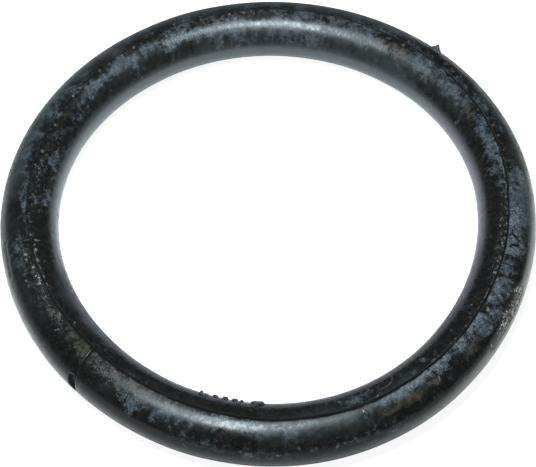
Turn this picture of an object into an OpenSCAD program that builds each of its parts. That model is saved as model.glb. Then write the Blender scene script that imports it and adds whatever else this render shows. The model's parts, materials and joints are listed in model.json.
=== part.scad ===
// Rubber o-ring with a round section, one moulded piece, lying flat on its lower side.
// Z is the axis of the ring and the origin lies on it, in the plane that the ring rests on.
// An azimuth turns about Z from +X towards +Y.
// A section angle turns about the middle of the section: 0 points out, 90 up and 180 in.

/* [Ring] */
// Inside diameter, across the hole
bore_d = 38.7; // [20:0.1:80]
// Diameter of the round section
section_d = 5.3; // [4:0.1:7]

/* [Mould seam] */
// Width of the seam groove, on the crown and on the underside
seam_w = 0.18; // [0.1:0.02:0.4]
// Depth of the seam groove
seam_depth = 0.14; // [0.06:0.02:0.3]

/* [Splice] */
// Azimuth of the splice line, which leaves the crown seam at a right angle
splice_azimuth = 225; // [200:1:240]
// Width of the splice line
splice_w = 0.14; // [0.08:0.02:0.3]
// Depth of the splice line under the skin
splice_depth = 0.12; // [0.06:0.02:0.3]
// Width of the pit that ends the splice line, along the ring
pit_w = 0.7; // [0.3:0.05:1.2]
// Length of the pit, round the outer side of the section
pit_len = 1.6; // [1.3:0.1:2.2]
// Depth of the pit under the skin
pit_depth = 0.3; // [0.15:0.05:0.6]
// Section angle of the middle of the pit
pit_angle = 15; // [0:1:25]

/* [Flash spur] */
// Azimuth of the spur of torn flash on the outer shoulder
spur_azimuth = 47; // [20:1:80]
// Section angle at which the spur stands
spur_angle = 50; // [30:1:60]
// Height of the spur above the skin
spur_h = 0.7; // [0.3:0.05:1.2]
// Length of the foot of the spur, along the ring
spur_foot = 1.3; // [0.6:0.1:2]
// Thickness of the foot of the spur
spur_foot_t = 0.5; // [0.3:0.05:0.8]
// Thickness of the tip of the spur
spur_tip_t = 0.12; // [0.06:0.02:0.24]
// Place of the tip along the foot, as a share of the foot from the middle
spur_lean = 0.1; // [-0.3:0.05:0.3]

/* [Flash crumbs] */
// Number of crumbs of torn flash in the row on the inner side
crumb_count = 8; // [1:1:12]
// Azimuth of the first crumb
crumb_azimuth = 252; // [240:1:260]
// Azimuth from one crumb to the next
crumb_pitch = 2.15; // [1.8:0.05:3]
// Section angle at which the crumbs lie
crumb_angle = 148; // [130:1:160]
// Height of a large crumb, twice what stands above the skin
crumb_d = 0.5; // [0.3:0.05:0.7]
// Azimuth that a large crumb spans
crumb_span = 1.5; // [0.8:0.1:1.7]
// Height of the smaller crumb between two large ones, twice what stands above the skin
small_crumb_d = 0.36; // [0.2:0.02:0.5]
// Azimuth that a small crumb spans
small_crumb_span = 0.8; // [0.4:0.1:1.5]

/* [Nick] */
// Azimuth of the nick in the inner edge
nick_azimuth = 179; // [150:1:210]
// Section angle of the nick
nick_angle = 170; // [155:1:180]
// Depth of the nick under the skin
nick_depth = 0.2; // [0.1:0.05:0.4]
// Length of the nick, across the inner side
nick_len = 0.9; // [0.5:0.1:1.4]

/* [Hidden] */

// Facets on a full circle, and points on each side of the spur
$fn = 96;
spur_steps = 5;
// How much a cutter overshoots the skin, and how deep a spur or crumb is rooted in the rubber
overshoot = 0.2;
root = 0.3;
// How fast the sides of the spur draw in towards its tip
spur_curve = 1.7;

section_r = section_d / 2;
// Radius of the circle that the middle of the section runs along
ring_r = (bore_d + section_d) / 2;
// The ring rests on the two lips of its lower seam, so its middle is that much lower
middle_z = sqrt(pow(section_r, 2) - pow(seam_w / 2, 2));

// Puts a shape drawn at the origin on the skin, with its +X pointing out of the rubber
module on_skin(azimuth, angle) {
    rotate([0, 0, azimuth])
        translate([ring_r, 0, middle_z])
            rotate([0, -angle, 0])
                translate([section_r, 0, 0])
                    children();
}

// A ring with its section's middle on the o-ring's own, and the section's radius given
module torus(r) {
    translate([0, 0, middle_z])
        rotate_extrude()
            translate([ring_r, 0])
                circle(r = r);
}

// The V groove along the crown, which is the same on the underside
module seam_groove() {
    mouth = seam_w / 2 * (1 + overshoot / seam_depth);
    translate([0, 0, middle_z])
        rotate_extrude()
            polygon([
                [ring_r - mouth, section_r + overshoot],
                [ring_r, section_r - seam_depth],
                [ring_r + mouth, section_r + overshoot]
            ]);
}

module seam_grooves() {
    seam_groove();
    translate([0, 0, 2 * middle_z])
        mirror([0, 0, 1])
            seam_groove();
}

// The splice line, cut to an even depth from the crown down to the middle of the pit
module splice_line() {
    reach = section_r + overshoot;
    foot = section_r * sin(pit_angle);
    difference() {
        rotate([0, 0, splice_azimuth])
            translate([ring_r, -splice_w / 2, middle_z + foot])
                cube([reach, splice_w, reach - foot]);
        torus(section_r - splice_depth);
    }
}

// The pit, a long oval with round ends that runs round the outer side of the section
module splice_pit() {
    pit_r = pit_w / 2;
    half_run = pit_len / 2 - pit_r;
    on_skin(splice_azimuth, pit_angle)
        translate([pit_r - pit_depth, 0, 0]) {
            cylinder(r = pit_r, h = 2 * half_run, center = true);
            for (end = [-1, 1])
                translate([0, 0, end * half_run])
                    sphere(r = pit_r);
        }
}

// One side of the spur, from its foot to its tip: it draws in quickly, then slowly
function spur_side(side) = [
    for (i = [0 : spur_steps])
        let (rise = i / spur_steps)
        [spur_h * rise, spur_foot * (spur_lean * rise + side / 2 * pow(1 - rise, spur_curve))]
];

// Outline of the spur along the ring, with a straight root below the skin
module spur_face() {
    right = spur_side(-1);
    left = spur_side(1);
    polygon(concat(
        [[-root, -spur_foot / 2]],
        right,
        [for (i = [spur_steps - 1 : -1 : 0]) left[i]],
        [[-root, spur_foot / 2]]
    ));
}

// Outline of the spur across the ring, which tapers to a thin tip
module spur_edge() {
    polygon([
        [-root, -spur_foot_t / 2],
        [0, -spur_foot_t / 2],
        [spur_h, -spur_tip_t / 2],
        [spur_h, spur_tip_t / 2],
        [0, spur_foot_t / 2],
        [-root, spur_foot_t / 2]
    ]);
}

module flash_spur() {
    on_skin(spur_azimuth, spur_angle)
        intersection() {
            linear_extrude(height = 2 * spur_foot_t, center = true)
                spur_face();
            rotate([90, 0, 0])
                linear_extrude(height = 2 * spur_foot, center = true)
                    spur_edge();
        }
}

// A row of crumbs of torn flash: each is a short piece of a thin lip, sunk in to half its width
module flash_crumbs() {
    for (i = [0 : crumb_count - 1])
        rotate([0, 0, crumb_azimuth + i * crumb_pitch])
            rotate_extrude(angle = i % 2 == 0 ? small_crumb_span : crumb_span)
                translate([
                    ring_r + section_r * cos(crumb_angle),
                    middle_z + section_r * sin(crumb_angle)
                ])
                    circle(d = i % 2 == 0 ? small_crumb_d : crumb_d);
}

// A V nick whose edge runs across the inner side
module nick() {
    side = (nick_depth + overshoot) * sqrt(2);
    on_skin(nick_azimuth, nick_angle)
        translate([overshoot, 0, 0])
            rotate([0, 0, 45])
                cube([side, side, nick_len], center = true);
}

module o_ring() {
    color([0.1, 0.11, 0.11])
        difference() {
            union() {
                torus(section_r);
                flash_spur();
                flash_crumbs();
            }
            seam_grooves();
            splice_line();
            splice_pit();
            nick();
        }
}

o_ring();
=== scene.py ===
"""A used rubber o-ring: one moulded ring with its seam, splice, torn flash, bloom, dirt and wear.

The ring's skin is described by two angles in degrees. The azimuth turns about Z from +X towards +Y,
and the section angle turns about the middle of the section: 0 points out, 90 up and 180 in.
Lengths along the skin are in millimetres, and the meshes are scaled to metres.
"""
import json
import math

import bmesh
import bpy
import numpy as np
from mathutils import Matrix, Vector


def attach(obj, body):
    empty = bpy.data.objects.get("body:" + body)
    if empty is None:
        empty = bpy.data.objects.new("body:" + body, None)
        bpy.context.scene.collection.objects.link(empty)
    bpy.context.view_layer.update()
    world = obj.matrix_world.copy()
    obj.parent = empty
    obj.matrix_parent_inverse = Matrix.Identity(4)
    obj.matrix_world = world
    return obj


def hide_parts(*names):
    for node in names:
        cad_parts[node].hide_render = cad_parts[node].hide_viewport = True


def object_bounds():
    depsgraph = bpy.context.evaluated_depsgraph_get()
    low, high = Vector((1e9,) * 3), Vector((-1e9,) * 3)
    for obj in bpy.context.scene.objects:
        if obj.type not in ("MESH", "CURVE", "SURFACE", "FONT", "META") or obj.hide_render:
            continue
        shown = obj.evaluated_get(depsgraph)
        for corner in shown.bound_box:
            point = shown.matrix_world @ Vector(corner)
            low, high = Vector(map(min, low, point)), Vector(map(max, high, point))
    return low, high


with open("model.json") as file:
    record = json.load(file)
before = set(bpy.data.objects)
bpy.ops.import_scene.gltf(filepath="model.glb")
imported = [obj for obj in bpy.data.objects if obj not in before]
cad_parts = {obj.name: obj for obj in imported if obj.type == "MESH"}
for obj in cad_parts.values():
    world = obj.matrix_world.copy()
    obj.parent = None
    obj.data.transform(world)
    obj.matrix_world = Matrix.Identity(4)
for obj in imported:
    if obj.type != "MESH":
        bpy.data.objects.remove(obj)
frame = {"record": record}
cad_low, cad_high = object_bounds()

MM = 0.001

# The ring's sizes come from the record's mounts
MOUNTS = {mount["name"]: mount for mount in frame["record"]["mounts"]}
BORE_R = MOUNTS["shaft_seat"]["dims"]["r_mm"]
OUTER_R = MOUNTS["housing_seat"]["dims"]["r_mm"]
RING_R = (BORE_R + OUTER_R) / 2
SECTION_R = (OUTER_R - BORE_R) / 2

# How far the used ring is out of round: lobes, height in mm and azimuth of a high point
LOBES = [(3, 0.168, 38.6), (4, 0.05, 11.5)]
# How its section thickens and thins round the ring, in the same form, and its mean extra radius in mm
THICK_LOBES = (2, 0.03, 65.0)
THICK_MEAN = 0.03
# How far the crown and the underside are drawn in, so that their waves stay inside the solid's height
CROWN_ROOM = 0.022

# Where the crown seam runs: azimuth and section angle
SEAM_PATH = [
    (0, 92.6), (5, 91.0), (15, 89.2), (35, 86.2), (55, 83.4), (90, 81.6), (110, 82.6), (130, 86.2),
    (150, 88.4), (165, 89.6), (185, 91.0), (200, 96.0), (220, 98.0), (240, 97.6), (257, 96.4), (275, 93.0),
    (290, 90.8), (305, 92.2), (330, 92.0), (345, 92.0),
]
# How deep the seam is round the ring: azimuth and depth
SEAM_DEPTHS = [
    (0, 0.13), (40, 0.1), (60, 0.05), (75, 0.025), (115, 0.025), (135, 0.03), (150, 0.03), (180, 0.04),
    (191, 0.12), (225, 0.15), (248, 0.1), (290, 0.09), (310, 0.12), (335, 0.14),
]
SEAM_HALF_WIDTH = 0.09
# How far the seam wanders to either side, and how far from it the rubber is darkened
SEAM_WANDER = 0.07
SEAM_SHADE_REACH = 0.26
UNDER_SEAM_DEPTH = 0.13
# A groove's walls follow this power of the share of its half width
GROOVE_CURVE = 0.7
# The worn lip on the bore side of the seam: azimuth and height, and how far it lies from the seam
LIP_HEIGHTS = [
    (0, 0.06), (14, 0.05), (26, 0.04), (34, 0.0), (180, 0.0), (191, 0.04), (205, 0.04), (216, 0.0),
    (320, 0.0), (336, 0.04), (350, 0.05),
]
LIP_OFFSET = 0.16
LIP_HALF_WIDTH = 0.055
# The rolled edge on the bore side of the seam: azimuth and height, and how fast it falls away
ROLL_HEIGHTS = [(0, 0.0), (200, 0.0), (215, 0.03), (232, 0.055), (290, 0.055), (312, 0.02), (325, 0.0)]
ROLL_REACH = 0.24

SPLICE_AZIMUTH = 225.15
SPLICE_HALF_WIDTH = 0.1
SPLICE_DEPTH = 0.13
SPLICE_SHADE_REACH = 0.3
# How far the splice line leans: degrees of azimuth for each degree of section angle below its middle
SPLICE_LEAN = 0.0125
SPLICE_MIDDLE = 60.0
SPLICE_FOOT = 4.0
PIT_AZIMUTH = 224.8
PIT_ANGLE = 9.0
PIT_HALF_WIDTH = 0.5
PIT_HALF_LENGTH = 1.1
PIT_DEPTH = 0.44
# How much painted shade the pit gets, and from which depth on
PIT_PAINTED_SHADE = 0.6
PIT_SHADE_DEPTH = 0.12
# How far the pit leans: mm along the ring for each mm round the section
PIT_LEAN = -0.12

SPUR_AZIMUTH = 47.0
SPUR_ANGLE = 50.0
SPUR_HEIGHT = 0.76
SPUR_FOOT = 1.4
SPUR_FOOT_THICKNESS = 0.55
SPUR_TIP_THICKNESS = 0.12
SPUR_LEAN = -0.03
SPUR_CURVE = 1.6
# The heights from which on the spur has its own colour and the crumbs their painted light and shade
SPUR_COLOUR_HEIGHT = 0.35
CRUMB_COLOUR_HEIGHT = 0.06

# Crumbs of torn flash on the bore side: azimuth, section angle, height, half length, half width
CRUMBS = [
    (252.1, 150, 0.2, 0.16, 0.3), (253.0, 143, 0.1, 0.55, 0.42), (255.8, 151, 0.15, 0.3, 0.3),
    (257.2, 140, 0.07, 0.24, 0.5), (258.3, 150, 0.2, 0.34, 0.3), (260.7, 151, 0.18, 0.34, 0.3),
    (262.0, 141, 0.08, 0.26, 0.44), (262.6, 151, 0.15, 0.18, 0.28), (265.6, 148, 0.17, 0.3, 0.36),
    (266.8, 143, 0.23, 0.5, 0.52),
]

NICK_AZIMUTH = 180.0
NICK_ANGLE = 176.0
NICK_DEPTH = 0.12
NICK_HALF_LENGTH = 0.5
NICK_HALF_WIDTH = 0.16
# The painted shade in the nick
NICK_PAINTED_SHADE = 0.3
# The depth from which on the painted shade in a groove, a crack or the nick is darkest
CUT_SHADE_DEPTH = 0.03

# Short cracks across the crown: azimuth, section angle, half length, half width, depth, lean
CRACKS = [
    (190.7, 85, 0.46, 0.15, 0.3, 0.1), (189.3, 94, 0.16, 0.09, 0.12, 0.1),
    (349.5, 73, 0.5, 0.17, 0.3, 0.75), (347.4, 72, 0.46, 0.17, 0.3, -0.25),
    (346.6, 80, 0.18, 0.09, 0.12, 0.4), (12.3, 74, 0.34, 0.09, 0.1, 0.3),
    (200.6, 86, 0.2, 0.08, 0.08, -0.2), (183.2, 97, 0.22, 0.07, 0.07, 0.2),
]

# A curved hair-fine scratch on the bore side: azimuth and section angle of its points
HAIR = [
    (300.6, 130), (300.3, 122), (299.9, 116), (299.2, 111), (298.4, 108), (296.9, 107), (295.6, 109.5),
]
HAIR_WIDTH = 0.1
HAIR_SHINE = 0.32
# A dark crease on the outer side, in the same form
CREASE = [
    (188.3, 41.5), (189.1, 35), (190.8, 33.5), (192.4, 34.5), (195.6, 32.5), (197.2, 30), (199.5, 31),
]
CREASE_WIDTH = 0.22
CREASE_DEPTH = 0.07

# A patch that ends at this section angle ends at the crown seam itself, with a sharp edge
SEAM = 90.0
SEAM_EDGE = 6.0
# How far in from their edges the patches' corners are rounded, in mm
CORNER = 0.8
# Patches of the surface: from and to azimuth, from and to section angle, strength
BLOOM = [
    (0, 30, SEAM, 106, 0.3), (18, 64, 58, SEAM, 0.36), (57, 90, 103, 127, 1.0), (60, 132, 60, SEAM, 0.25),
    (60, 118, SEAM, 104, 0.6), (74, 108, 127, 160, 0.48), (85, 119, 103, 129, 1.1),
    (118, 127, 99, 116, 1.0), (127, 136, 98, 123, 1.3), (132, 150, 50, SEAM, 0.22),
    (136, 144, 103, 124, 1.25), (142, 149, 107, 129, 0.8), (144, 172, 50, 84, 0.6),
    (150, 156, 113, 132, 0.5), (155, 163, 113, 126, 0.28), (160, 180, 118, 150, 0.38),
    (171, 183, 75, SEAM, 0.45), (183, 190, 65, SEAM, 0.25), (189, 198, 58, 82, 0.52),
    (200, 206, 60, SEAM, 0.03), (207, 213, 62, 78, 0.15), (225, 243, 70, SEAM, 0.15),
    (233, 247, 50, 76, 0.72), (243, 276, 62, SEAM, 0.42), (254, 266, 20, 52, 0.45),
    (256, 300, 6, 42, 0.33), (275, 293, 66, SEAM, 0.24), (286, 294, 97, 126, 0.45),
    (293, 300, 70, SEAM, 0.66), (299.5, 308, 73, SEAM, 1.2), (306.5, 311, 107, 123, 0.4),
    (307.5, 315.5, 69, SEAM, 1.0), (316.5, 320, 68, SEAM, 1.0), (320, 323, 74, SEAM, 1.3),
    (323, 327, 52, SEAM, 1.0), (327, 331, 45, 76, 0.85), (330, 338, 54, SEAM, 0.72),
    (338, 345, 64, SEAM, 0.68), (345, 354, 57, SEAM, 0.77), (352, 366, 43, SEAM, 0.76),
    (363, 369, 50, 73, 1.15), (363, 372, 102, 118, 0.5), (371, 384, SEAM, 115, 0.7),
    (389, 398, SEAM, 120, 0.55), (396, 410, SEAM, 123, 0.55),
]
# Dirt, and where it is olive and not tan
DIRT = [
    (62, 116, SEAM, 102, 0.5), (150, 162, SEAM, 112, 0.35), (196, 209, 60, SEAM, 0.1),
    (208, 217, 70, SEAM, 0.4), (216, 225, 72, SEAM, 0.58), (225, 234, 62, SEAM, 0.45),
    (234, 246, 80, SEAM, 0.75), (292, 305, 55, 70, 0.8), (305.5, 309.5, 59, 71, 1.0),
    (315, 324, 50, 68, 0.7), (323, 338, 34, 54, 0.3), (324, 334, 72, SEAM, 0.3), (384, 390, 97, 118, 0.5),
    (390, 409, 96, 122, 0.25), (409, 422, 94, 120, 0.65),
]
OLIVE = [
    (5, 10, SEAM, 112, 0.7), (208, 217, 70, SEAM, 0.6), (216, 225.2, 72, SEAM, 1.0),
    (292, 305, 54, 70, 0.8), (315, 324, 50, 68, 0.8),
]
# Fine scratches and rubbed skin
SCUFF = [
    (60, 122, 84, 106, 0.4), (120, 162, 86, 110, 0.25), (158, 183, 94, 137, 0.7), (180, 222, -6, 40, 0.35),
    (183, 200, 60, 104, 0.7), (197, 215, 68, 104, 0.85), (215, 232, 50, SEAM, 0.35),
    (248, 290, 10, 60, 0.45), (293, 338, 60, SEAM, 0.6), (336, 362, SEAM, 112, 0.8),
    (341, 376, 52, SEAM, 0.55), (362, 392, SEAM, 116, 0.4),
]
# Pale chalky flecks on a dull ground
CHALK = [
    (252, 290, 2, 34, 0.3), (322, 330, 8, 42, 0.85), (327, 339, 12, 46, 1.0), (334, 340, 38, 60, 0.8),
]
# Where the skin is worn down, how far in mm, and how uneven that leaves it
WORN_FLAT = [(325, 340, 6, 34, 1.0)]
WORN_DEPTH = 0.05
WORN_GRAIN = 0.15
# How uneven scuffs and chalk leave the skin, in mm
RUBBED_GRAIN = 0.03
# Pale flecks that stand closer than in the rest of the bloom
FROST = [
    (84, 122, 108, 122, 0.8), (206, 214, 60, 84, 0.8), (236, 280, 72, 86, 0.6), (292, 340, 83, SEAM, 1.0),
    (296, 309, 80, SEAM, 1.0), (309, 329, 78, SEAM, 0.8), (329, 345, 70, SEAM, 0.1),
    (345, 358, 60, SEAM, 0.6), (363, 369, 52, 70, 1.0),
]
# Where more grit is pressed into the skin
GRITTY = [
    (215, 226, 58, SEAM, 0.35), (226, 241, 54, SEAM, 1.0), (292, 312, 50, 70, 0.5),
    (313, 330, 44, 66, 0.6),
]
# A pale film painted along the sheen at the back as a painted highlight, where the skin is also smoother
PAINTED_SHEEN_FILM = [(79, 101, 98, 131, 1.0), (101, 112, 106, 128, 0.3), (112, 134, 98, 128, 0.25)]
# A thin, even and dull grey film
HAZE = [
    (8, 54, 24, 52, 1.0), (45, 110, 126, 166, 0.45), (54, 146, 36, 70, 1.0), (60, 76, 104, 128, 0.5),
    (110, 152, 132, 166, 0.1), (120, 150, 96, 130, 0.25), (138, 178, 20, 74, 0.75), (166, 192, 8, 36, 1.0),
    (180, 212, 30, 70, 0.2), (198, 226, 130, 168, 0.8), (232, 257, 56, 100, 0.35),
    (267, 290, 56, 100, 0.5), (290, 306, 72, 100, 0.5), (318, 345, 140, 170, 0.35),
    (350, 380, 36, 62, 0.55), (388, 412, 96, 126, 0.4),
]

# Pale specks of grit pressed into the skin: azimuth, section angle, half length in mm
SPECKS = [
    (101.3, 89, 0.24), (96, 88, 0.22), (94, 88, 0.2), (99.6, 88, 0.14), (105.6, 89, 0.16), (107, 90, 0.12),
    (111.3, 77, 0.13), (113.7, 78, 0.2), (126.0, 91, 0.17), (129.8, 93, 0.12), (133.9, 92, 0.18),
    (137.0, 92, 0.2), (136.7, 123, 0.14), (138.4, 140, 0.12), (144.0, 90, 0.24), (145.4, 93, 0.2),
    (146.9, 91, 0.2), (146.7, 130, 0.13), (125.6, 171, 0.14), (128.4, 156, 0.1), (153.1, 97, 0.12),
    (156.5, 98, 0.15), (158.0, 94, 0.13), (160.4, 96, 0.12), (164.6, 98, 0.18), (168.9, 95, 0.15),
    (167.8, 84, 0.12), (169.7, 77, 0.14), (177.3, 101, 0.15), (175.6, 129, 0.13), (175.5, 136, 0.12),
    (177.5, 118, 0.1), (183.6, 92, 0.14), (193.6, 79, 0.17), (193.3, 99, 0.2), (191.8, 101, 0.12),
    (196.4, 99, 0.22), (190.6, 104, 0.12), (197.7, 89, 0.16), (198.8, 86, 0.13), (201.6, 88, 0.16),
    (201.0, 99, 0.18), (203.3, 99, 0.11), (213.2, 85, 0.2), (211.6, 92, 0.14), (215.2, 72, 0.18),
    (214.8, 67, 0.13), (216.4, 102, 0.15), (216.0, 106, 0.11), (217.6, 126, 0.1), (235.3, 101, 0.15),
    (227.6, 88, 0.12), (252.8, 18, 0.25), (266.0, 24, 0.25), (273.2, 26, 0.24), (271.4, 25, 0.2),
    (275.5, 38, 0.19), (272.8, 43, 0.1), (283.2, 30, 0.22), (284.6, 34, 0.18), (272.3, 78, 0.3),
    (290.4, 79, 0.2), (290.7, 74, 0.15), (294.6, 97, 0.14), (310.6, 97, 0.24), (310.1, 96, 0.15),
    (308.5, 63, 0.22), (306.9, 85, 0.14), (316.5, 98, 0.15), (318.1, 97, 0.12), (319.5, 115, 0.12),
    (320.5, 77, 0.14), (322.4, 97, 0.14), (325.0, 100, 0.13), (328.2, 111, 0.13), (328.6, 78, 0.2),
    (327.6, 71, 0.13), (329.9, 96, 0.12), (331.4, 95, 0.12), (338.7, 99, 0.13), (339.3, 85, 0.16),
    (342.3, 69, 0.16), (342.0, 99, 0.13), (345.8, 103, 0.16), (347.2, 99, 0.15), (349.5, 44, 0.14),
    (350.6, 95, 0.13), (350.5, 89, 0.13), (355.5, 96, 0.13), (358.6, 95, 0.15), (354.4, 106, 0.1),
    (358.4, 108, 0.13), (4.6, 97, 0.16), (6.2, 94, 0.13), (12.0, 95, 0.15), (14.5, 92, 0.13),
    (16.2, 94, 0.14), (18.0, 80, 0.13), (21.2, 80, 0.18), (29.5, 92, 0.16), (53.4, 90, 0.22),
    (70.5, 90, 0.14), (83.8, 88, 0.13), (295.6, 80, 0.12), (301.6, 89, 0.13),
]

# The brightest specks, in the same form
BRIGHT_SPECKS = [
    (328.8, 78, 0.2), (329.8, 62, 0.15), (328.5, 68, 0.18), (330.4, 47.5, 0.15), (332.0, 83.5, 0.14),
    (337.0, 48.5, 0.15), (334.5, 38, 0.18), (334.0, 28.5, 0.24), (194.0, 78.5, 0.16), (195.3, 78, 0.16),
    (193.3, 100, 0.2), (197.8, 87.5, 0.2), (200.9, 90, 0.15), (200.3, 65, 0.14), (201.9, 65.5, 0.15),
    (202.2, 87, 0.26), (190.7, 108, 0.14),
]

SPECK_HEIGHT = 0.03

# Fields of the surface: name, patches, seed, how far their edges wander and how soft they are
PATCH_FIELDS = [
    ("bloom", BLOOM, 181, 0.7, 0.75), ("frost", FROST, 221, 0.5, 0.5), ("gritty", GRITTY, 231, 0.6, 0.8),
    ("film", PAINTED_SHEEN_FILM, 241, 0.5, 0.8), ("haze", HAZE, 211, 0.8, 1.1), ("dirt", DIRT, 191, 0.6, 0.5),
    ("olive", OLIVE, 201, 0.6, 0.6),
]

# The azimuth between columns of faces, and where they stand closer: middle, half width, step
COLUMN_STEP = 0.45
CLOSE_COLUMNS = [
    (SPLICE_AZIMUTH + 0.1, 0.85, 0.07), (PIT_AZIMUTH, 1.5, 0.2), (190.4, 1.5, 0.17), (348.4, 1.9, 0.17),
]
# Places that need finer faces: azimuth, section angle, half azimuth, half angle, cuts
FINE_PLACES = [
    (SPUR_AZIMUTH, SPUR_ANGLE, 2.1, 11, 7), (259.5, 148, 9, 13, 2), (PIT_AZIMUTH, PIT_ANGLE, 1.6, 26, 2),
    (NICK_AZIMUTH, NICK_ANGLE, 1.2, 14, 3), (298.1, 118, 3.2, 15, 2),
]
# How far round a speck the faces are split, in mm, and the shortest edge that is split
SPECK_MARGIN = 0.16
SHORTEST_SPLIT = 0.08

# The camera, found by fitting the ring's outline: distances in mm, angles in degrees
CAMERA_ELEVATION = 57.875
CAMERA_DISTANCE = 7.2034 * RING_R
CAMERA_PAN = -0.0407
CAMERA_TILT = -0.5931
CAMERA_ROLL = -0.5987
FOCAL_PIXELS = 1714.4
IMAGE_WIDTH = 536
SENSOR_WIDTH = 36.0


def smooth(share):
    """A share from 0 to 1, made to start and end gently."""
    return share * share * (3 - 2 * share)


def ease(low, high, value):
    """0 below low, 1 above high and smooth between them."""
    return smooth(np.clip((value - low) / (high - low), 0, 1))


def lattice(cell, seed):
    """A repeatable random number from 0 to 1 for each cell of a grid."""
    mixed = cell[..., 0] * 374761393 + cell[..., 1] * 668265263 + cell[..., 2] * 1440662683
    mixed = (mixed + seed * 2246822519) & 0xFFFFFFFF
    mixed = ((mixed ^ (mixed >> 13)) * 1274126177) & 0xFFFFFFFF
    mixed = ((mixed ^ (mixed >> 16)) * 2654435761) & 0xFFFFFFFF
    return ((mixed ^ (mixed >> 15)) & 0xFFFFFF) / 0xFFFFFF


def grain(points, size, seed):
    """Smooth noise from 0 to 1 whose lumps are about size across."""
    scaled = points / size
    cell = np.floor(scaled).astype(np.int64)
    share = smooth(scaled - cell)
    total = np.zeros(len(points))
    for corner in range(8):
        step = np.array([corner & 1, corner >> 1 & 1, corner >> 2 & 1])
        weight = np.prod(np.where(step, share, 1 - share), axis=-1)
        total += weight * lattice(cell + step, seed)
    return total


def octaves(points, size, seed, count=3):
    """Noise from 0 to 1 with finer and weaker lumps added to the large ones."""
    total = np.zeros(len(points))
    reach = 0.0
    for step in range(count):
        weight = 0.5 ** step
        total += weight * grain(points, size * weight, seed + step)
        reach += weight
    return total / reach


def around(azimuth, path):
    """The value at each azimuth of a closed path of azimuths and values."""
    first = [path[-1][0] - 360] + [p[0] for p in path] + [path[0][0] + 360]
    second = [path[-1][1]] + [p[1] for p in path] + [path[0][1]]
    at, value = np.array(first, float), np.array(second, float)
    place = np.clip(np.searchsorted(at, azimuth, side="right") - 1, 0, len(at) - 2)
    share = smooth((azimuth - at[place]) / (at[place + 1] - at[place]))
    return value[place] * (1 - share) + value[place + 1] * share


def legs(length, angle):
    """The two legs of a length that is turned by an angle in degrees."""
    rad = np.radians(angle)
    return length * np.cos(rad), length * np.sin(rad)


def turn(azimuth, centre):
    """Azimuth from a centre, from -180 to 180."""
    return (azimuth - centre + 180) % 360 - 180


def ring_points(azimuth, angle, lift):
    """Points on the out-of-round ring, lift mm above the skin."""
    rad = np.radians(azimuth)
    radius = np.full_like(rad, RING_R)
    slope = np.zeros_like(rad)
    for lobes, height, high_at in LOBES:
        phase = lobes * (rad - math.radians(high_at))
        radius += height * np.cos(phase)
        slope -= height * lobes * np.sin(phase)
    out_x = radius * np.cos(rad) + slope * np.sin(rad)
    out_y = radius * np.sin(rad) - slope * np.cos(rad)
    length = np.hypot(out_x, out_y)
    out_x, out_y = out_x / length, out_y / length
    reach, rise = legs(SECTION_R + lift, angle)
    return np.stack([radius * np.cos(rad) + reach * out_x, radius * np.sin(rad) + reach * out_y, rise], -1)


def local(azimuth, angle, azimuth_0, angle_0):
    """Skin distances in mm from a place: along the ring and round the section."""
    along = np.radians(turn(azimuth, azimuth_0)) * (RING_R + SECTION_R * math.cos(math.radians(angle_0)))
    return along, np.radians(angle - angle_0) * SECTION_R


def section_steps():
    """Distances round the section from the crown seam, in mm: close at both seams, wide between."""
    half = math.pi * SECTION_R
    near = [0.0, 0.03, 0.06, 0.09, 0.12, 0.16, 0.2, 0.26, 0.34, 0.44, 0.56, 0.7, 0.86]
    far = list(np.arange(1.04, 5.2, 0.2)) + list(np.arange(5.3, half - 0.5, 0.43))
    low = [half - d for d in (0.42, 0.24, 0.14, 0.08, 0.04)]
    side = near + far + low
    return np.array([-d for d in reversed(side[1:])] + side + [half])


def azimuth_steps():
    """Azimuths of the columns, closer where a fine detail crosses the section."""
    azimuth, found = 0.0, []
    while azimuth < 360:
        found.append(azimuth)
        step = COLUMN_STEP
        for centre, half, fine in CLOSE_COLUMNS:
            if abs(azimuth + step / 2 - centre) < half + step / 2:
                step = min(step, fine)
        azimuth += step
    found = np.array(found)
    return found * 360 / azimuth


def flat_ring():
    """The smooth ring as a grid of quads, as vertices and faces."""
    azimuths, steps = azimuth_steps(), section_steps()
    rows = len(steps)
    az, st = np.meshgrid(azimuths, steps, indexing="ij")
    reach, rise = legs(SECTION_R, 90 + np.degrees(st / SECTION_R))
    points = np.stack([*legs(RING_R + reach, az), rise], -1).reshape(-1, 3)
    faces = []
    for i in range(len(azimuths)):
        here, after = i * rows, (i + 1) % len(azimuths) * rows
        for j in range(rows):
            k = (j + 1) % rows
            faces.append((here + j, after + j, after + k, here + k))
    return points, faces


def place_of(points):
    """Azimuth and distance round the section from the crown, for points near the smooth ring."""
    azimuth = np.degrees(np.arctan2(points[:, 1], points[:, 0])) % 360
    angle = np.degrees(np.arctan2(points[:, 2], np.hypot(points[:, 0], points[:, 1]) - RING_R))
    angle = np.where(angle < -90, angle + 360, angle)
    return azimuth, np.radians(angle - 90) * SECTION_R


def row_angle(azimuth, steps):
    """Section angle of a place: the rows follow the seam near the crown and lie straight underneath."""
    share = (1 + np.cos(steps / SECTION_R)) / 2
    return 90 + np.degrees(steps / SECTION_R) + (around(azimuth, SEAM_PATH) - 90) * share


def places_on(work):
    """Azimuth and section angle of each point of the mesh."""
    work.verts.ensure_lookup_table()
    azimuth, steps = place_of(np.array([v.co for v in work.verts]))
    return azimuth, row_angle(azimuth, steps)


def split(work, inside, cuts, shortest=0.0):
    """Splits the edges that are inside, apart from short ones, and the faces between them."""
    chosen = [e for e in work.edges if inside[e.verts[0].index] and inside[e.verts[1].index]]
    chosen = [e for e in chosen if e.calc_length() > shortest]
    bmesh.ops.subdivide_edges(work, edges=chosen, cuts=cuts, use_grid_fill=True)
    work.verts.index_update()


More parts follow.
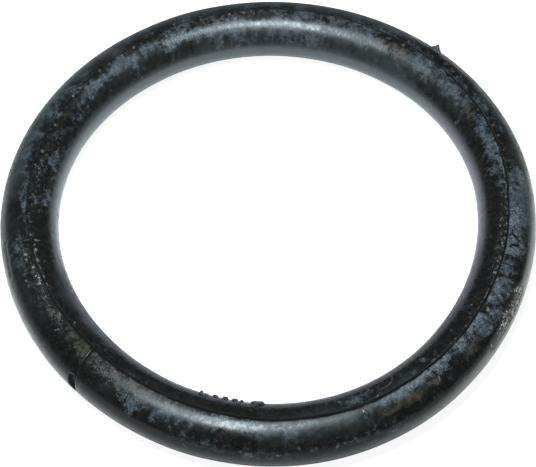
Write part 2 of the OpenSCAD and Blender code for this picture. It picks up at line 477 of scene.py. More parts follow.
def refine(work):
    """Splits the faces where a small detail stands, and under the specks of grit."""
    for azimuth, angle, half_azimuth, half_angle, cuts in FINE_PLACES:
        az, here = places_on(work)
        split(work, (np.abs(turn(az, azimuth)) < half_azimuth) & (np.abs(here - angle) < half_angle), cuts)
    az, here = places_on(work)
    inside = np.zeros(len(az), bool)
    for azimuth, angle, half in SPECKS + BRIGHT_SPECKS:
        along, down = local(az, here, azimuth, angle)
        inside |= (np.abs(along) < half + SPECK_MARGIN) & (np.abs(down) < half + SPECK_MARGIN)
    split(work, inside, 2, SHORTEST_SPLIT)


def tent(across, half_width):
    """1 in the middle, falling straight to 0 at the half width."""
    return (1 - np.abs(across) / half_width).clip(0, 1)


def groove(across, half_width):
    """The profile of a groove with sharp lips, 1 where it is deepest."""
    return tent(across, half_width) ** GROOVE_CURVE


def seam_groove(azimuth, across, skin):
    """How dark the rubber is along the crown seam, from 0 to 1, and the lift of its groove."""
    depth = around(azimuth, SEAM_DEPTHS) * (0.25 + 1.2 * ease(0.3, 0.7, octaves(skin, 0.7, 31, 3)))
    across = across + 2 * SEAM_WANDER * (octaves(skin, 0.7, 35, 3) - 0.5)
    patchy = 0.4 + 0.6 * ease(0.4, 0.6, octaves(skin, 0.4, 37, 2))
    shade = patchy * np.clip((depth - 0.03) / 0.08, 0, 1) * tent(across, SEAM_SHADE_REACH)
    return shade, -depth * groove(across, SEAM_HALF_WIDTH)


def seam_lip(azimuth, across, skin):
    """How much worn lip there is on the bore side of the seam, from 0 to 1, and its lift."""
    broken = ease(0.52, 0.62, octaves(skin, 0.3, 41, 3))
    height = around(azimuth, LIP_HEIGHTS) * broken
    lip = np.exp(-((across - LIP_OFFSET) / LIP_HALF_WIDTH) ** 2)
    return np.clip(height / 0.05, 0, 1) * lip, height * lip


def rolled_edge(azimuth, across):
    """How much painted shade the top of the rolled edge beside the seam gets, and its lift."""
    height = around(azimuth, ROLL_HEIGHTS)
    past = np.maximum(across - SEAM_HALF_WIDTH, 0)
    # Painted shade over the top of the edge
    top = np.clip(height / 0.03, 0, 1) * (1.4 - np.abs(across - SEAM_HALF_WIDTH) / 0.12).clip(0, 1)
    return top, height * np.exp(-past / ROLL_REACH) * (across > 0)


def splice(azimuth, angle, skin):
    """How dark the rubber is along the splice line, and its lift."""
    straight = azimuth - SPLICE_LEAN * (SPLICE_MIDDLE - angle)
    along, _ = local(straight, angle, SPLICE_AZIMUTH, SPLICE_MIDDLE)
    along = along + 0.10 * (grain(skin, 0.9, 51) - 0.5)
    run = ease(SPLICE_FOOT - 6, SPLICE_FOOT, angle) * (1 - ease(96, 98, angle))
    run = run * (0.35 + 0.65 * ease(22, 60, angle)) * (0.6 + 0.4 * ease(0.42, 0.58, grain(skin, 0.5, 53)))
    shade = 0.75 * run * tent(along, SPLICE_SHADE_REACH)
    return shade, -SPLICE_DEPTH * run * groove(along, SPLICE_HALF_WIDTH)


def pit(azimuth, angle, skin):
    """Lift of the pit beside the foot of the splice line, with steep walls."""
    along, down = local(azimuth, angle, PIT_AZIMUTH, PIT_ANGLE)
    along = along - PIT_LEAN * down
    leaf = 1 - np.abs(along / PIT_HALF_WIDTH) ** 3 - np.abs(down / PIT_HALF_LENGTH) ** 3
    leaf = leaf + 0.25 * (grain(skin, 0.25, 61) - 0.5)
    return -PIT_DEPTH * ease(0.0, 0.65, leaf)


def spur(azimuth, angle, skin):
    """Lift of the spur of torn flash: concave sides along the ring, a thin tip across it."""
    along, down = local(azimuth, angle, SPUR_AZIMUTH, SPUR_ANGLE)
    along = along + 0.05 * (grain(skin, 0.6, 71) - 0.5)
    tip = SPUR_LEAN * SPUR_FOOT
    reach = np.where(along > tip, SPUR_FOOT / 2 - tip, SPUR_FOOT / 2 + tip)
    long_way = 1 - (np.abs(along - tip) / reach).clip(0, 1) ** (1 / SPUR_CURVE)
    thick, thin = SPUR_FOOT_THICKNESS / 2, SPUR_TIP_THICKNESS / 2
    short_way = ((thick - np.abs(down)) / (thick - thin)).clip(0, 1)
    return SPUR_HEIGHT * np.minimum(long_way, short_way)


def crumbs(azimuth, angle, skin):
    """Lift of the row of crumbs of torn flash."""
    lift = np.zeros(len(azimuth))
    rough = grain(skin, 0.16, 81) - 0.5
    for azimuth_0, angle_0, height, half_length, half_width in CRUMBS:
        along, down = local(azimuth, angle, azimuth_0, angle_0)
        lump = 1 - (along / half_length) ** 2 - (down / half_width) ** 2 + 0.9 * rough
        lift = np.maximum(lift, height * ease(0.0, 0.7, lump))
    return lift


def cracks(azimuth, angle, skin):
    """Lift of the short cracks across the crown."""
    lift = np.zeros(len(azimuth))
    wander = 0.12 * (grain(skin, 0.35, 91) - 0.5)
    for azimuth_0, angle_0, half_length, half_width, depth, lean in CRACKS:
        along, down = local(azimuth, angle, azimuth_0, angle_0)
        along = along - lean * down + wander
        run = np.clip(1 - (down / half_length) ** 2, 0, 1)
        lift = np.minimum(lift, -depth * run * groove(along, half_width))
    return lift


def nick(azimuth, angle):
    """Lift of the V nick across the inner edge."""
    along, down = local(azimuth, angle, NICK_AZIMUTH, NICK_ANGLE)
    run = np.clip(1 - (down / NICK_HALF_LENGTH) ** 2, 0, 1)
    return -NICK_DEPTH * run * tent(along, NICK_HALF_WIDTH)


def specks(azimuth, angle, skin):
    """How much of each place is covered by a speck of grit, less for the dull specks."""
    cover = np.zeros(len(azimuth))
    rough = grain(skin, 0.13, 101) - 0.5
    for number, (azimuth_0, angle_0, half) in enumerate(SPECKS + BRIGHT_SPECKS):
        shine = 0.30 + 0.55 * (number * 0.618 % 1) ** 2 if number < len(SPECKS) else 1.0
        along, down = local(azimuth, angle, azimuth_0, angle_0)
        tilt = number * 2.4
        one = along * math.cos(tilt) + down * math.sin(tilt)
        other = down * math.cos(tilt) - along * math.sin(tilt)
        lump = 1 - np.hypot(one / half, other / (0.62 * half)) + 0.9 * rough
        cover = np.maximum(cover, shine * ease(-0.35, 0.55, lump))
    return cover


def thin_line(azimuth, angle, path, width):
    """How near each place is to a line on the skin: 1 on it, 0 from its width on."""
    cover = np.zeros(len(azimuth))
    for (azimuth_0, angle_0), (azimuth_1, angle_1) in zip(path, path[1:]):
        along, down = local(azimuth, angle, azimuth_0, angle_0)
        end_along, end_down = local(np.array([azimuth_1]), np.array([angle_1]), azimuth_0, angle_0)
        share = ((along * end_along + down * end_down) / (end_along ** 2 + end_down ** 2)).clip(0, 1)
        distance = np.hypot(along - share * end_along, down - share * end_down)
        cover = np.maximum(cover, tent(distance, width))
    return cover


def lower_seam(steps):
    """Lift of the seam on the underside."""
    across = math.pi * SECTION_R - np.abs(steps)
    return -UNDER_SEAM_DEPTH * groove(across, SEAM_HALF_WIDTH)


def fullness(azimuth):
    """How much thicker than its nominal size the section is, in mm of radius."""
    lobes, height, high_at = THICK_LOBES
    return THICK_MEAN + height * np.cos(lobes * np.radians(azimuth - high_at))


def unevenness(skin):
    """The small waves of a used moulding."""
    long_waves = 0.045 * (grain(skin, 4.0, 11) - 0.5)
    short_waves = 0.020 * (octaves(skin, 1.1, 21, 3) - 0.5)
    return long_waves + short_waves


def patches(place, entries, seed, wander=0.5, soft=0.3):
    """A smooth field that rises to each patch's strength inside it, and whose edges wander."""
    azimuth, angle, steps, skin = place
    shift_along = wander * 2 * (octaves(skin, 1.4, seed) - 0.5)
    shift_down = wander * 2 * (octaves(skin, 1.1, seed + 7) - 0.5)
    field = np.zeros(len(azimuth))
    for from_azimuth, to_azimuth, from_angle, to_angle, strength in entries:
        half_along = math.radians(to_azimuth - from_azimuth) / 2 * RING_R
        half_down = math.radians(to_angle - from_angle) / 2 * SECTION_R
        along = np.abs(np.radians(turn(azimuth, (from_azimuth + to_azimuth) / 2)) * RING_R + shift_along)
        down = np.radians(angle - (from_angle + to_angle) / 2) * SECTION_R + shift_down
        sharp = np.inf
        if from_angle == SEAM:
            sharp = steps * SEAM_EDGE
            down = np.maximum(down, 0)
        if to_angle == SEAM:
            sharp = -steps * SEAM_EDGE
            down = np.minimum(down, 0)
        past_along = np.maximum(along - half_along + CORNER, 0)
        past_down = np.maximum(np.abs(down) - half_down + CORNER, 0)
        edge = np.minimum(CORNER - np.hypot(past_along, past_down), sharp)
        field = np.maximum(field, strength * ease(-soft, soft, edge))
    return field


def add_object(name, data):
    """A new object in the scene."""
    thing = bpy.data.objects.new(name, data)
    bpy.context.collection.objects.link(thing)
    return thing


def make_skin():
    """The smooth ring as a mesh in mm, with finer faces where a small detail stands."""
    points, faces = flat_ring()
    mesh = bpy.data.meshes.new("o_ring_skin")
    mesh.from_pydata(points.tolist(), [], faces)
    work = bmesh.new()
    work.from_mesh(mesh)
    refine(work)
    work.to_mesh(mesh)
    work.free()
    return mesh


def dress(place):
    """The skin's lift in mm, with all that stands out or is cut in, and the fields that show it."""
    azimuth, angle, steps, skin = place
    hair = HAIR_SHINE * thin_line(azimuth, angle, HAIR, HAIR_WIDTH)
    speck = np.maximum(specks(azimuth, angle, skin), hair)
    crease = thin_line(azimuth, angle, CREASE, CREASE_WIDTH) * ease(0.35, 0.6, grain(skin, 0.5, 251))
    worn = patches(place, WORN_FLAT, 131, 0.4, 0.9)
    scuff = patches(place, SCUFF, 141, 0.8, 0.5)
    chalk = patches(place, CHALK, 151)
    lip_share, lip = seam_lip(azimuth, steps, skin)
    seam_shade, cut = seam_groove(azimuth, steps, skin)
    splice_shade, splice_cut = splice(azimuth, angle, skin)
    cut += splice_cut + lower_seam(steps) + cracks(azimuth, angle, skin)
    roll_top_shade, roll = rolled_edge(azimuth, steps)
    hollow, notch = pit(azimuth, angle, skin), nick(azimuth, angle)
    torn, spike = crumbs(azimuth, angle, skin), spur(azimuth, angle, skin)
    side = np.cos(np.radians(angle)) ** 2
    lift = fullness(azimuth) * side + unevenness(skin) - CROWN_ROOM * (1 - side) + cut + lip
    lift += spike + torn + SPECK_HEIGHT * speck + roll + hollow + notch - CREASE_DEPTH * crease
    lift -= worn * (WORN_DEPTH + WORN_GRAIN * (octaves(skin, 0.5, 161) - 0.5))
    lift += RUBBED_GRAIN * (scuff + chalk) * (octaves(skin, 0.45, 171, 2) - 0.5)
    pit_painted_shade = PIT_PAINTED_SHADE * np.clip(-hollow / PIT_SHADE_DEPTH, 0, 1)
    nick_painted_shade = NICK_PAINTED_SHADE * np.clip(-notch / CUT_SHADE_DEPTH, 0, 1)
    fields = {
        # Painted shade in the grooves, cracks, pit and nick, and over the top of the rolled edge
        "cut": np.maximum.reduce([np.clip(-cut / CUT_SHADE_DEPTH, 0, 1), roll_top_shade, pit_painted_shade, nick_painted_shade]),
        "shade": np.maximum(np.maximum(seam_shade, splice_shade), 0.9 * crease),
        # The upper bore side, which is duller
        "inner": ease(118, 136, angle) * (1 - ease(150, 168, angle)),
        "lip": lip_share,
        "torn": np.clip(torn / CRUMB_COLOUR_HEIGHT, 0, 1),
        "spike": np.clip(spike / SPUR_COLOUR_HEIGHT, 0, 1),
        "speck": speck,
        "scuff": scuff,
        "chalk": chalk,
    }
    return lift, fields


def fit_to_solid(points):
    """The shift in mm and the scales that put the ring into the solid's box."""
    low, high = points.min(axis=0), points.max(axis=0)
    room = np.array(cad_high - cad_low) / MM / (high - low)
    fit = min(1.0, room[0], room[1])
    shift = np.array([-(low[0] + high[0]) / 2, -(low[1] + high[1]) / 2, -low[2]])
    return shift, np.array([fit, fit, min(fit, room[2])])


def store_fields(mesh, fields, azimuth, steps):
    """Keeps the fields on the mesh, and its skin coordinates in mm."""
    for name, values in fields.items():
        layer = mesh.attributes.new(name, "FLOAT", "POINT")
        layer.data.foreach_set("value", values.astype(np.float32))
    layer = mesh.attributes.new("skin", "FLOAT_VECTOR", "POINT")
    places = np.stack([*legs(RING_R, azimuth), steps], -1)
    layer.data.foreach_set("vector", places.astype(np.float32).ravel())


def make_ring():
    """The ring with all its detail, how far it is shifted in mm and how much it is scaled."""
    mesh = make_skin()
    flat = np.empty(len(mesh.vertices) * 3)
    mesh.vertices.foreach_get("co", flat)
    azimuth, steps = place_of(flat.reshape(-1, 3))
    angle = row_angle(azimuth, steps)
    skin = ring_points(azimuth, angle, np.zeros(len(azimuth)))
    place = (azimuth, angle, steps, skin)
    lift, fields = dress(place)
    for name, *settings in PATCH_FIELDS:
        fields[name] = patches(place, *settings)
    final = ring_points(azimuth, angle, lift)
    # The picture's scale is kept, and the ring and the camera shrink together to fit the solid's box
    shift, scale = fit_to_solid(final)
    mesh.vertices.foreach_set("co", ((final + shift) * scale * MM).ravel())
    store_fields(mesh, fields, azimuth, steps)
    mesh.polygons.foreach_set("use_smooth", [True] * len(mesh.polygons))
    mesh.update()
    return add_object("o_ring_skin", mesh), shift, scale[0]


def make_camera(shift, fit):
    """The camera at the photograph's place."""
    angles = (CAMERA_ELEVATION, CAMERA_PAN, CAMERA_TILT, CAMERA_ROLL)
    rise, pan, tilt, roll = (math.radians(angle) for angle in angles)
    forward = Vector((0, math.cos(rise), -math.sin(rise)))
    right = Vector((1, 0, 0))
    up = right.cross(forward)
    place = (Vector(shift) - forward * CAMERA_DISTANCE) * fit
    panned = forward * math.cos(pan) + right * math.sin(pan)
    right = right * math.cos(pan) - forward * math.sin(pan)
    forward = panned * math.cos(tilt) + up * math.sin(tilt)
    up = up * math.cos(tilt) - panned * math.sin(tilt)
    right, up = right * math.cos(roll) + up * math.sin(roll), up * math.cos(roll) - right * math.sin(roll)
    data = bpy.data.cameras.new("camera")
    data.sensor_width = SENSOR_WIDTH
    data.lens = FOCAL_PIXELS / IMAGE_WIDTH * SENSOR_WIDTH
    data.clip_start = 0.005
    data.clip_end = 10.0
    camera = add_object("camera", data)
    turned = Matrix((right, up, -forward)).transposed().to_4x4()
    camera.matrix_world = Matrix.Translation(place * MM) @ turned
    bpy.context.scene.camera = camera


# The lamp: place and size in mm, power in watts
LAMP_PLACE = (-12, -13, 124)
LAMP_WIDTH, LAMP_LENGTH = 34, 57
LAMP_POWER = 0.146
LAMP_COLOUR = (0.84, 0.95, 1.0)


def make_lamp():
    """One soft lamp over the ring, which draws the sheen along its crown."""
    data = bpy.data.lights.new("overhead", "AREA")
    data.shape = "RECTANGLE"
    data.size = LAMP_WIDTH * MM
    data.size_y = LAMP_LENGTH * MM
    data.energy = LAMP_POWER
    data.color = LAMP_COLOUR
    lamp = add_object("overhead", data)
    lamp.location = Vector(LAMP_PLACE) * MM
    lamp.rotation_euler = (-Vector(LAMP_PLACE)).normalized().to_track_quat("-Z", "Y").to_euler()


class Board:
    """Short names for the shader nodes of one material or world."""

    def __init__(self, tree):
        self.nodes, self.links = tree.nodes, tree.links

    def feed(self, socket, value):
        """Links a value from another node into the socket, or sets a plain one."""
        if isinstance(value, bpy.types.NodeSocket):
            self.links.new(value, socket)
        else:
            socket.default_value = value

    def new(self, kind, **inputs):
        """A new node, with what its inputs are fed by their names."""
        node = self.nodes.new(kind)
        for name, value in inputs.items():
            self.feed(node.inputs[name], value)
        return node

    def field(self, name):
        """A field that the mesh carries."""
        node = self.nodes.new("ShaderNodeAttribute")
        node.attribute_name = name
        return node.outputs["Fac"]

    def skin(self, along=1.0, across=1.0, turned=0.0):
        """Skin coordinates in mm, drawn out along the ring or across it, or turned first to slant."""
        node = self.nodes.new("ShaderNodeAttribute")
        node.attribute_name = "skin"
        place = node.outputs["Vector"]
        rotate = self.new("ShaderNodeVectorRotate", Vector=place, Angle=math.radians(turned))
        rotate.rotation_type = "X_AXIS"
        scale = self.nodes.new("ShaderNodeVectorMath")
        scale.operation = "MULTIPLY"
        self.feed(scale.inputs[0], rotate.outputs["Vector"])
        self.feed(scale.inputs[1], (1 / along, 1 / along, 1 / across))
        return scale.outputs[0]

    def noise(self, vector, size, detail=2.0, roughness=0.55):
        """Noise with lumps of about the size in mm."""
        sizes = {"Scale": 1 / size, "Detail": detail, "Roughness": roughness}
        return self.new("ShaderNodeTexNoise", Vector=vector, **sizes).outputs["Fac"]

    def math(self, operation, *values):
        node = self.nodes.new("ShaderNodeMath")
        node.operation = operation
        for socket, value in zip(node.inputs, values):
            self.feed(socket, value)
        return node.outputs[0]

    def times(self, first, second):
        return self.math("MULTIPLY", first, second)

    def ramp(self, value, low, high, start=0.0, end=1.0):
        """Start below low, end above high and smooth between them."""
        node = self.nodes.new("ShaderNodeMapRange")
        node.interpolation_type = "SMOOTHSTEP"
        names = ("Value", "From Min", "From Max", "To Min", "To Max")
        for name, entry in zip(names, (value, low, high, start, end)):
            self.feed(node.inputs[name], entry)
        return node.outputs["Result"]

    def mix(self, share, first, second):
        """The first colour, with the share of the second over it."""
        node = self.nodes.new("ShaderNodeMix")
        node.data_type = "RGBA"
        self.feed(node.inputs[0], share)
        self.feed(node.inputs[6], first)
        self.feed(node.inputs[7], second)
        return node.outputs[2]

    def plus(self, value, added, weight):
        """The value plus the weight times what is added."""
        return self.math("MULTIPLY_ADD", added, weight, value)

    def stir(self, value, noise, weight):
        """The value, raised and lowered by noise of the given weight."""
        return self.plus(value, self.math("SUBTRACT", noise, 0.5), weight)

    def seen(self):
        """1 for what the camera sees straight or through glass, and 0 for reflections."""
        path = self.nodes.new("ShaderNodeLightPath")
        return self.math("MAXIMUM", path.outputs["Is Camera Ray"], path.outputs["Is Transmission Ray"])


RUBBER = (0.0076, 0.0084, 0.0086, 1)
RUBBER_BROWN = (0.0142, 0.0127, 0.01, 1)
BLOOM_BLUE = (0.096, 0.124, 0.152, 1)
# Pale flecks in the bloom, and the tint of the painted highlight along the sheen
BLOOM_PALE_AND_SHEEN = (0.3, 0.315, 0.33, 1)
HAZE_GREY = (0.06, 0.074, 0.08, 1)
DIRT_TAN = (0.112, 0.095, 0.076, 1)
DIRT_OLIVE = (0.062, 0.046, 0.014, 1)
SCUFF_GREY = (0.26, 0.25, 0.23, 1)
GRIT = (0.34, 0.325, 0.295, 1)
LIP_PINK = (0.31, 0.26, 0.24, 1)
CHALK_WHITE = (0.9, 0.84, 0.72, 1)
# Painted shade and painted light on the torn flash, mixed at random
TORN_PAINTED_SHADE = (0.026, 0.02, 0.03, 1)
TORN_PAINTED_LIGHT = (0.2, 0.185, 0.215, 1)
SPIKE_GREY = (0.05, 0.064, 0.05, 1)
# Painted shade in grooves, cracks, the pit and the nick
CUT_PAINTED_SHADE = (0.004, 0.004, 0.004, 1)

# How far a full scuff lifts the noise that its scratches are cut from
SCUFF_BITE = 0.15
BUMP_STRENGTH = 0.6
BUMP_DEPTH = 0.02


class Noises:
    """The noises that the layers share, from coarse to fine, and streaks along the ring."""

    def __init__(self, board):
        even = board.skin()
        self.wide = board.noise(even, 1.5, 4.0, 0.62)
        self.middle = board.noise(even, 0.48, 3.0, 0.6)
        self.small = board.noise(even, 0.18, 2.0)
        self.tiny = board.noise(even, 0.1, 1.0)
        self.streaks = board.noise(board.skin(along=3.4), 0.12, 2.0)


def add_bloom(board, noises, colour):
    """Blue-grey bloom, broken up by noise, with pale flecks: the colour, and where the bloom lies."""
    broken = board.stir(board.field("bloom"), noises.wide, 2.0)
    broken = board.stir(broken, noises.middle, 1.0)
    broken = board.stir(broken, noises.small, 0.5)
    bloom = board.ramp(broken, 0.2, 0.88, 0.0, 0.93)
    crosswise = board.noise(board.skin(across=3.0), 0.13, 2.0)
    tone = board.ramp(noises.middle, 0.34, 0.66, 0.45, 1.1)
    tone = board.times(tone, board.ramp(noises.small, 0.34, 0.64, 0.55, 1.15))
    tone = board.times(tone, board.ramp(crosswise, 0.56, 0.65, 1.0, 0.3))
    colour = board.mix(board.times(bloom, tone), colour, BLOOM_BLUE)
    strands = board.noise(board.skin(across=3.6), 0.085, 1.0)
    flecks = board.math("MAXIMUM", noises.tiny, strands)
    flecks = board.plus(flecks, board.field("frost"), 0.14)
    pale = board.times(bloom, board.ramp(flecks, 0.6, 0.74, 0.0, 0.85))
    return board.mix(pale, colour, BLOOM_PALE_AND_SHEEN), bloom


def add_sheen_film_and_haze(board, noises, colour):
    """A pale film of painted highlight along the sheen at the back, and a grey dull haze."""
    # The first, pale film is a painted highlight along the sheen
    for name, thin, thick, tint in (("film", 0.14, 0.26, BLOOM_PALE_AND_SHEEN), ("haze", 0.4, 1.2, HAZE_GREY)):
        cover = board.times(board.field(name), board.ramp(noises.wide, 0.35, 0.65, thin, thick))
        colour = board.mix(cover, colour, tint)
    return colour


def add_dirt(board, noises, colour):
    """Tan and olive dirt: the colour, and where the dirt lies."""
    smeared = board.stir(board.field("dirt"), noises.middle, 0.9)
    dirt = board.ramp(smeared, 0.25, 1.0)
    dirt = board.times(dirt, board.ramp(noises.small, 0.35, 0.6, 0.5, 1.0))
    return board.mix(dirt, colour, board.mix(board.field("olive"), DIRT_TAN, DIRT_OLIVE)), dirt


def add_scuffs(board, noises, colour):
    """Fine light scratches, along the ring and slanting both ways, and grit that is pressed in."""
    worn = board.times(board.field("scuff"), SCUFF_BITE)
    rising = board.noise(board.skin(across=4.0, turned=50), 0.1, 2.0)
    falling = board.noise(board.skin(across=4.0, turned=-50), 0.1, 2.0)
    strokes = board.math("MAXIMUM", noises.streaks, board.math("MAXIMUM", rising, falling))
    scuffed = board.ramp(board.math("ADD", strokes, worn), 0.76, 0.82)
    scuffed = board.times(scuffed, board.ramp(noises.middle, 0.4, 0.6, 0.4, 1.0))
    colour = board.mix(scuffed, colour, SCUFF_GREY)
    pressed = board.plus(board.times(worn, 0.45), board.field("gritty"), 0.12)
    dots = board.plus(board.times(noises.tiny, 0.6), noises.small, 0.4)
    grit = board.ramp(board.math("ADD", dots, pressed), 0.7, 0.8, 0.0, 0.7)
    return board.mix(grit, colour, GRIT)


def add_chalk(board, noises, colour):
    """Pale chalky flecks on a dusty ground: the colour, and where the flecks lie."""
    chalky = board.times(noises.streaks, 0.25)
    shares = ((board.field("chalk"), 0.36), (noises.small, 0.38), (noises.tiny, 0.22), (noises.middle, 0.3))
    for noise, weight in shares:
        chalky = board.plus(chalky, noise, weight)
    chalk = board.ramp(chalky, 0.93, 0.99)
    colour = board.mix(board.times(board.field("chalk"), 0.06), colour, DIRT_TAN)
    return board.mix(chalk, colour, CHALK_WHITE), chalk


def add_marks(board, noises, colour):
    """The rubber beside the seams, painted light and shade on the torn flash, the seam's lip, the specks,
    and painted shade in all that is cut.
    """
    shade = board.times(board.field("shade"), board.ramp(noises.small, 0.35, 0.6, 1.0, 0.55))
    colour = board.mix(shade, colour, RUBBER)
    # The torn flash gets lit and shaded tones at random: painted light and shade
    lit = board.ramp(board.plus(noises.tiny, noises.middle, 0.5), 0.68, 0.9)
    colour = board.mix(board.field("torn"), colour, board.mix(lit, TORN_PAINTED_SHADE, TORN_PAINTED_LIGHT))
    colour = board.mix(board.field("spike"), colour, SPIKE_GREY)
    colour = board.mix(board.times(board.field("lip"), 0.7), colour, LIP_PINK)
    speck = board.times(board.field("speck"), board.ramp(noises.tiny, 0.42, 0.58, 0.1, 1.1))
    colour = board.mix(speck, colour, GRIT)
    # Painted shade where the skin is cut, and over the top of the rolled edge
    return board.mix(board.field("cut"), colour, CUT_PAINTED_SHADE)


def rubber_roughness(board, noises, bloom, dirt, chalk):
    """Satin rubber, to which each layer adds its share, and which some places exceed."""
    rough = board.ramp(noises.middle, 0.35, 0.65, 0.17, 0.31)
    added = (
        (bloom, 0.08), (board.field("film"), -0.05), (dirt, 0.15), (board.field("haze"), 0.26),
        (board.field("inner"), 0.1), (board.field("scuff"), 0.08),
    )
    for cover, weight in added:
        rough = board.plus(rough, cover, weight)
    at_least = (
        (chalk, 0.8), (board.field("chalk"), 0.6), (board.field("shade"), 1.1), (board.field("torn"), 0.28),
        (board.field("spike"), 0.4), (board.field("cut"), 1.0),
    )
    for cover, value in at_least:
        rough = board.math("MAXIMUM", rough, board.times(cover, value))
    return rough


def rubber_grain(board, noises):
    """The skin's fine relief, which is stronger where it is scuffed and absent on the spur."""
    height = board.times(noises.small, board.ramp(board.field("scuff"), 0.0, 1.0, 0.35, 1.0))
    height = board.plus(height, noises.middle, 0.5)
    worn = board.times(board.field("scuff"), SCUFF_BITE)
    height = board.math("ADD", height, board.times(noises.streaks, worn))
    height = board.times(height, board.math("SUBTRACT", 1.0, board.field("spike")))
    bump = board.new("ShaderNodeBump", Strength=BUMP_STRENGTH, Distance=BUMP_DEPTH * MM, Height=height)
    return bump.outputs["Normal"]


def make_rubber():
    """Used black rubber: bloom, a pale film of painted highlight, a grey haze, dirt, scuffs, chalky wear,
    grit, painted light and shade on the torn flash and painted shade in cuts, over a satin base.
    """
    material = bpy.data.materials.new("used_rubber")
    material.use_nodes = True
    board = Board(material.node_tree)
    noises = Noises(board)
    colour = board.mix(board.ramp(noises.middle, 0.42, 0.62), RUBBER, RUBBER_BROWN)
    colour, bloom = add_bloom(board, noises, colour)
    colour = add_sheen_film_and_haze(board, noises, colour)
    colour, dirt = add_dirt(board, noises, colour)
    colour = add_scuffs(board, noises, colour)
    colour, chalk = add_chalk(board, noises, colour)
    colour = add_marks(board, noises, colour)
    shader = board.nodes["Principled BSDF"]
    board.feed(shader.inputs["Base Color"], colour)
    board.feed(shader.inputs["Roughness"], rubber_roughness(board, noises, bloom, dirt, chalk))
    board.feed(shader.inputs["Normal"], rubber_grain(board, noises))
    return material


# The dim studio that the ring reflects
ROOM_COLOUR = (0.95, 0.98, 1.0, 1)
ROOM_STRENGTH = 0.09


def make_world():
    """A dim studio for the ring's reflections, and plain white behind it for the camera."""
    world = bpy.data.worlds.new("studio")
    world.use_nodes = True
    board = Board(world.node_tree)
    board.nodes.clear()
    room = board.new("ShaderNodeBackground", Color=ROOM_COLOUR, Strength=ROOM_STRENGTH)
    white = board.new("ShaderNodeBackground", Color=(1, 1, 1, 1))
    mix = board.nodes.new("ShaderNodeMixShader")
    board.feed(mix.inputs[0], board.seen())
    board.feed(mix.inputs[1], room.outputs[0])
    board.feed(mix.inputs[2], white.outputs[0])
    board.new("ShaderNodeOutputWorld", Surface=mix.outputs[0])
    bpy.context.scene.world = world


FLOOR_HALF = 2000
FLOOR_COLOUR = (0.6, 0.6, 0.6, 1)
FLOOR_GLOW_CAMERA = 0.9
# The floor's glow in the ring's reflections: inside the ring at the back, and inside it close to its front
GLOSSY_INSIDE, GLOSSY_INNER_FRONT = 3.1, 0.46
# The same outside the ring: beside it at the front and at the back, and in front of it
GLOSSY_BESIDE, GLOSSY_BESIDE_BACK, GLOSSY_FRONT = 1.7, 0.6, 0.6
GLOSSY_COLOUR_BACK = (0.8, 0.92, 1.0, 1)
GLOSSY_COLOUR_INNER_FRONT = (1.1, 0.91, 1.22, 1)
GLOSSY_COLOUR_OUTSIDE = (0.97, 1.02, 0.98, 1)
# How near the ring the floor's glow fades, in mm, and how fast
CONTACT_REACH = 7.0
CONTACT_FALL = 1.6


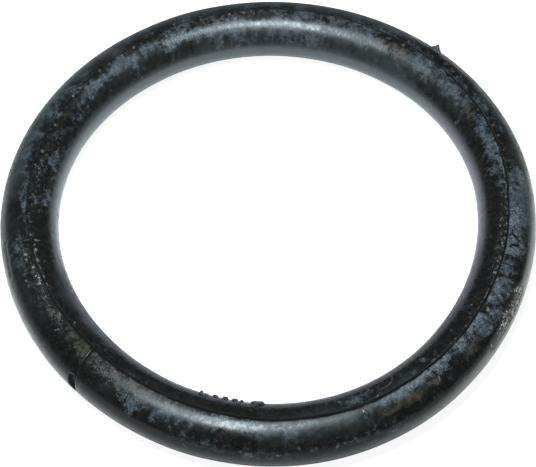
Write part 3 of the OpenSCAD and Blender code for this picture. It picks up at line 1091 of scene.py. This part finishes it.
def floor_pool(board):
    """The floor's glow in the ring's reflections and its colour, by the place on the floor."""
    place = board.nodes.new("ShaderNodeTexCoord")
    parts = board.nodes.new("ShaderNodeSeparateXYZ")
    board.feed(parts.inputs[0], place.outputs["Object"])
    x, y = parts.outputs["X"], parts.outputs["Y"]
    squares = board.math("ADD", board.math("POWER", x, 2.0), board.math("POWER", y, 2.0))
    reach = board.math("POWER", squares, 0.5)
    backward = board.ramp(board.plus(y, x, -0.15), -16 * MM, 16 * MM, 0.1, 1.0)
    inside = board.times(backward, board.ramp(reach, 8 * MM, 17 * MM, 0.25, GLOSSY_INSIDE))
    inside = board.math("ADD", inside, board.ramp(y, -17 * MM, -6 * MM, GLOSSY_INNER_FRONT, 0.0))
    beside = board.ramp(y, -12 * MM, 20 * MM, GLOSSY_BESIDE, GLOSSY_BESIDE_BACK)
    middle = board.ramp(y, -10 * MM, 20 * MM, GLOSSY_FRONT, 0.0)
    share = board.ramp(board.math("ABSOLUTE", x), 8 * MM, 26 * MM)
    outside = board.plus(middle, share, board.math("SUBTRACT", beside, middle))
    fall = board.plus(board.plus(reach, y, -0.35), x, -0.1)
    outside = board.times(outside, board.ramp(fall, 31.5 * MM, 42.5 * MM, 1.0, 0.1))
    is_outside = board.ramp(reach, BORE_R * MM, OUTER_R * MM)
    pool = board.plus(inside, is_outside, board.math("SUBTRACT", outside, inside))
    tint = board.mix(backward, GLOSSY_COLOUR_INNER_FRONT, GLOSSY_COLOUR_BACK)
    return pool, board.mix(is_outside, tint, GLOSSY_COLOUR_OUTSIDE)


def make_floor_white():
    """White to the camera, with the ring's shadow, and a glow of its own in the ring's reflections."""
    material = bpy.data.materials.new("floor_white")
    material.use_nodes = True
    board = Board(material.node_tree)
    board.nodes.clear()
    seen = board.seen()
    glossy = board.nodes.new("ShaderNodeLightPath").outputs["Is Glossy Ray"]
    contact = board.new("ShaderNodeAmbientOcclusion", Distance=CONTACT_REACH * MM)
    contact.samples = 8
    open_sky = board.math("POWER", contact.outputs["AO"], CONTACT_FALL)
    pool, tint = floor_pool(board)
    to_camera = board.times(seen, FLOOR_GLOW_CAMERA)
    to_gloss = board.times(glossy, board.times(pool, open_sky))
    colour, strength = board.mix(seen, tint, (1, 1, 1, 1)), board.math("MAXIMUM", to_camera, to_gloss)
    glow = board.new("ShaderNodeEmission", Color=colour, Strength=strength)
    plain = board.new("ShaderNodeBsdfDiffuse", Color=FLOOR_COLOUR)
    add = board.nodes.new("ShaderNodeAddShader")
    board.feed(add.inputs[0], glow.outputs[0])
    board.feed(add.inputs[1], plain.outputs[0])
    board.new("ShaderNodeOutputMaterial", Surface=add.outputs[0])
    return material


def make_floor():
    """A white floor that keeps the ring's shadow."""
    half = FLOOR_HALF * MM
    corners = [(-half, -half, 0), (half, -half, 0), (half, half, 0), (-half, half, 0)]
    mesh = bpy.data.meshes.new("floor")
    mesh.from_pydata(corners, [], [(0, 1, 2, 3)])
    mesh.materials.append(make_floor_white())
    floor = add_object("floor", mesh)


ring, ring_shift, ring_fit = make_ring()
ring.data.materials.append(make_rubber())
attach(ring, "root")
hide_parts("o_ring")
make_camera(ring_shift, ring_fit)
make_lamp()
make_world()
make_floor()

bpy.context.scene.view_settings.view_transform = "Standard"
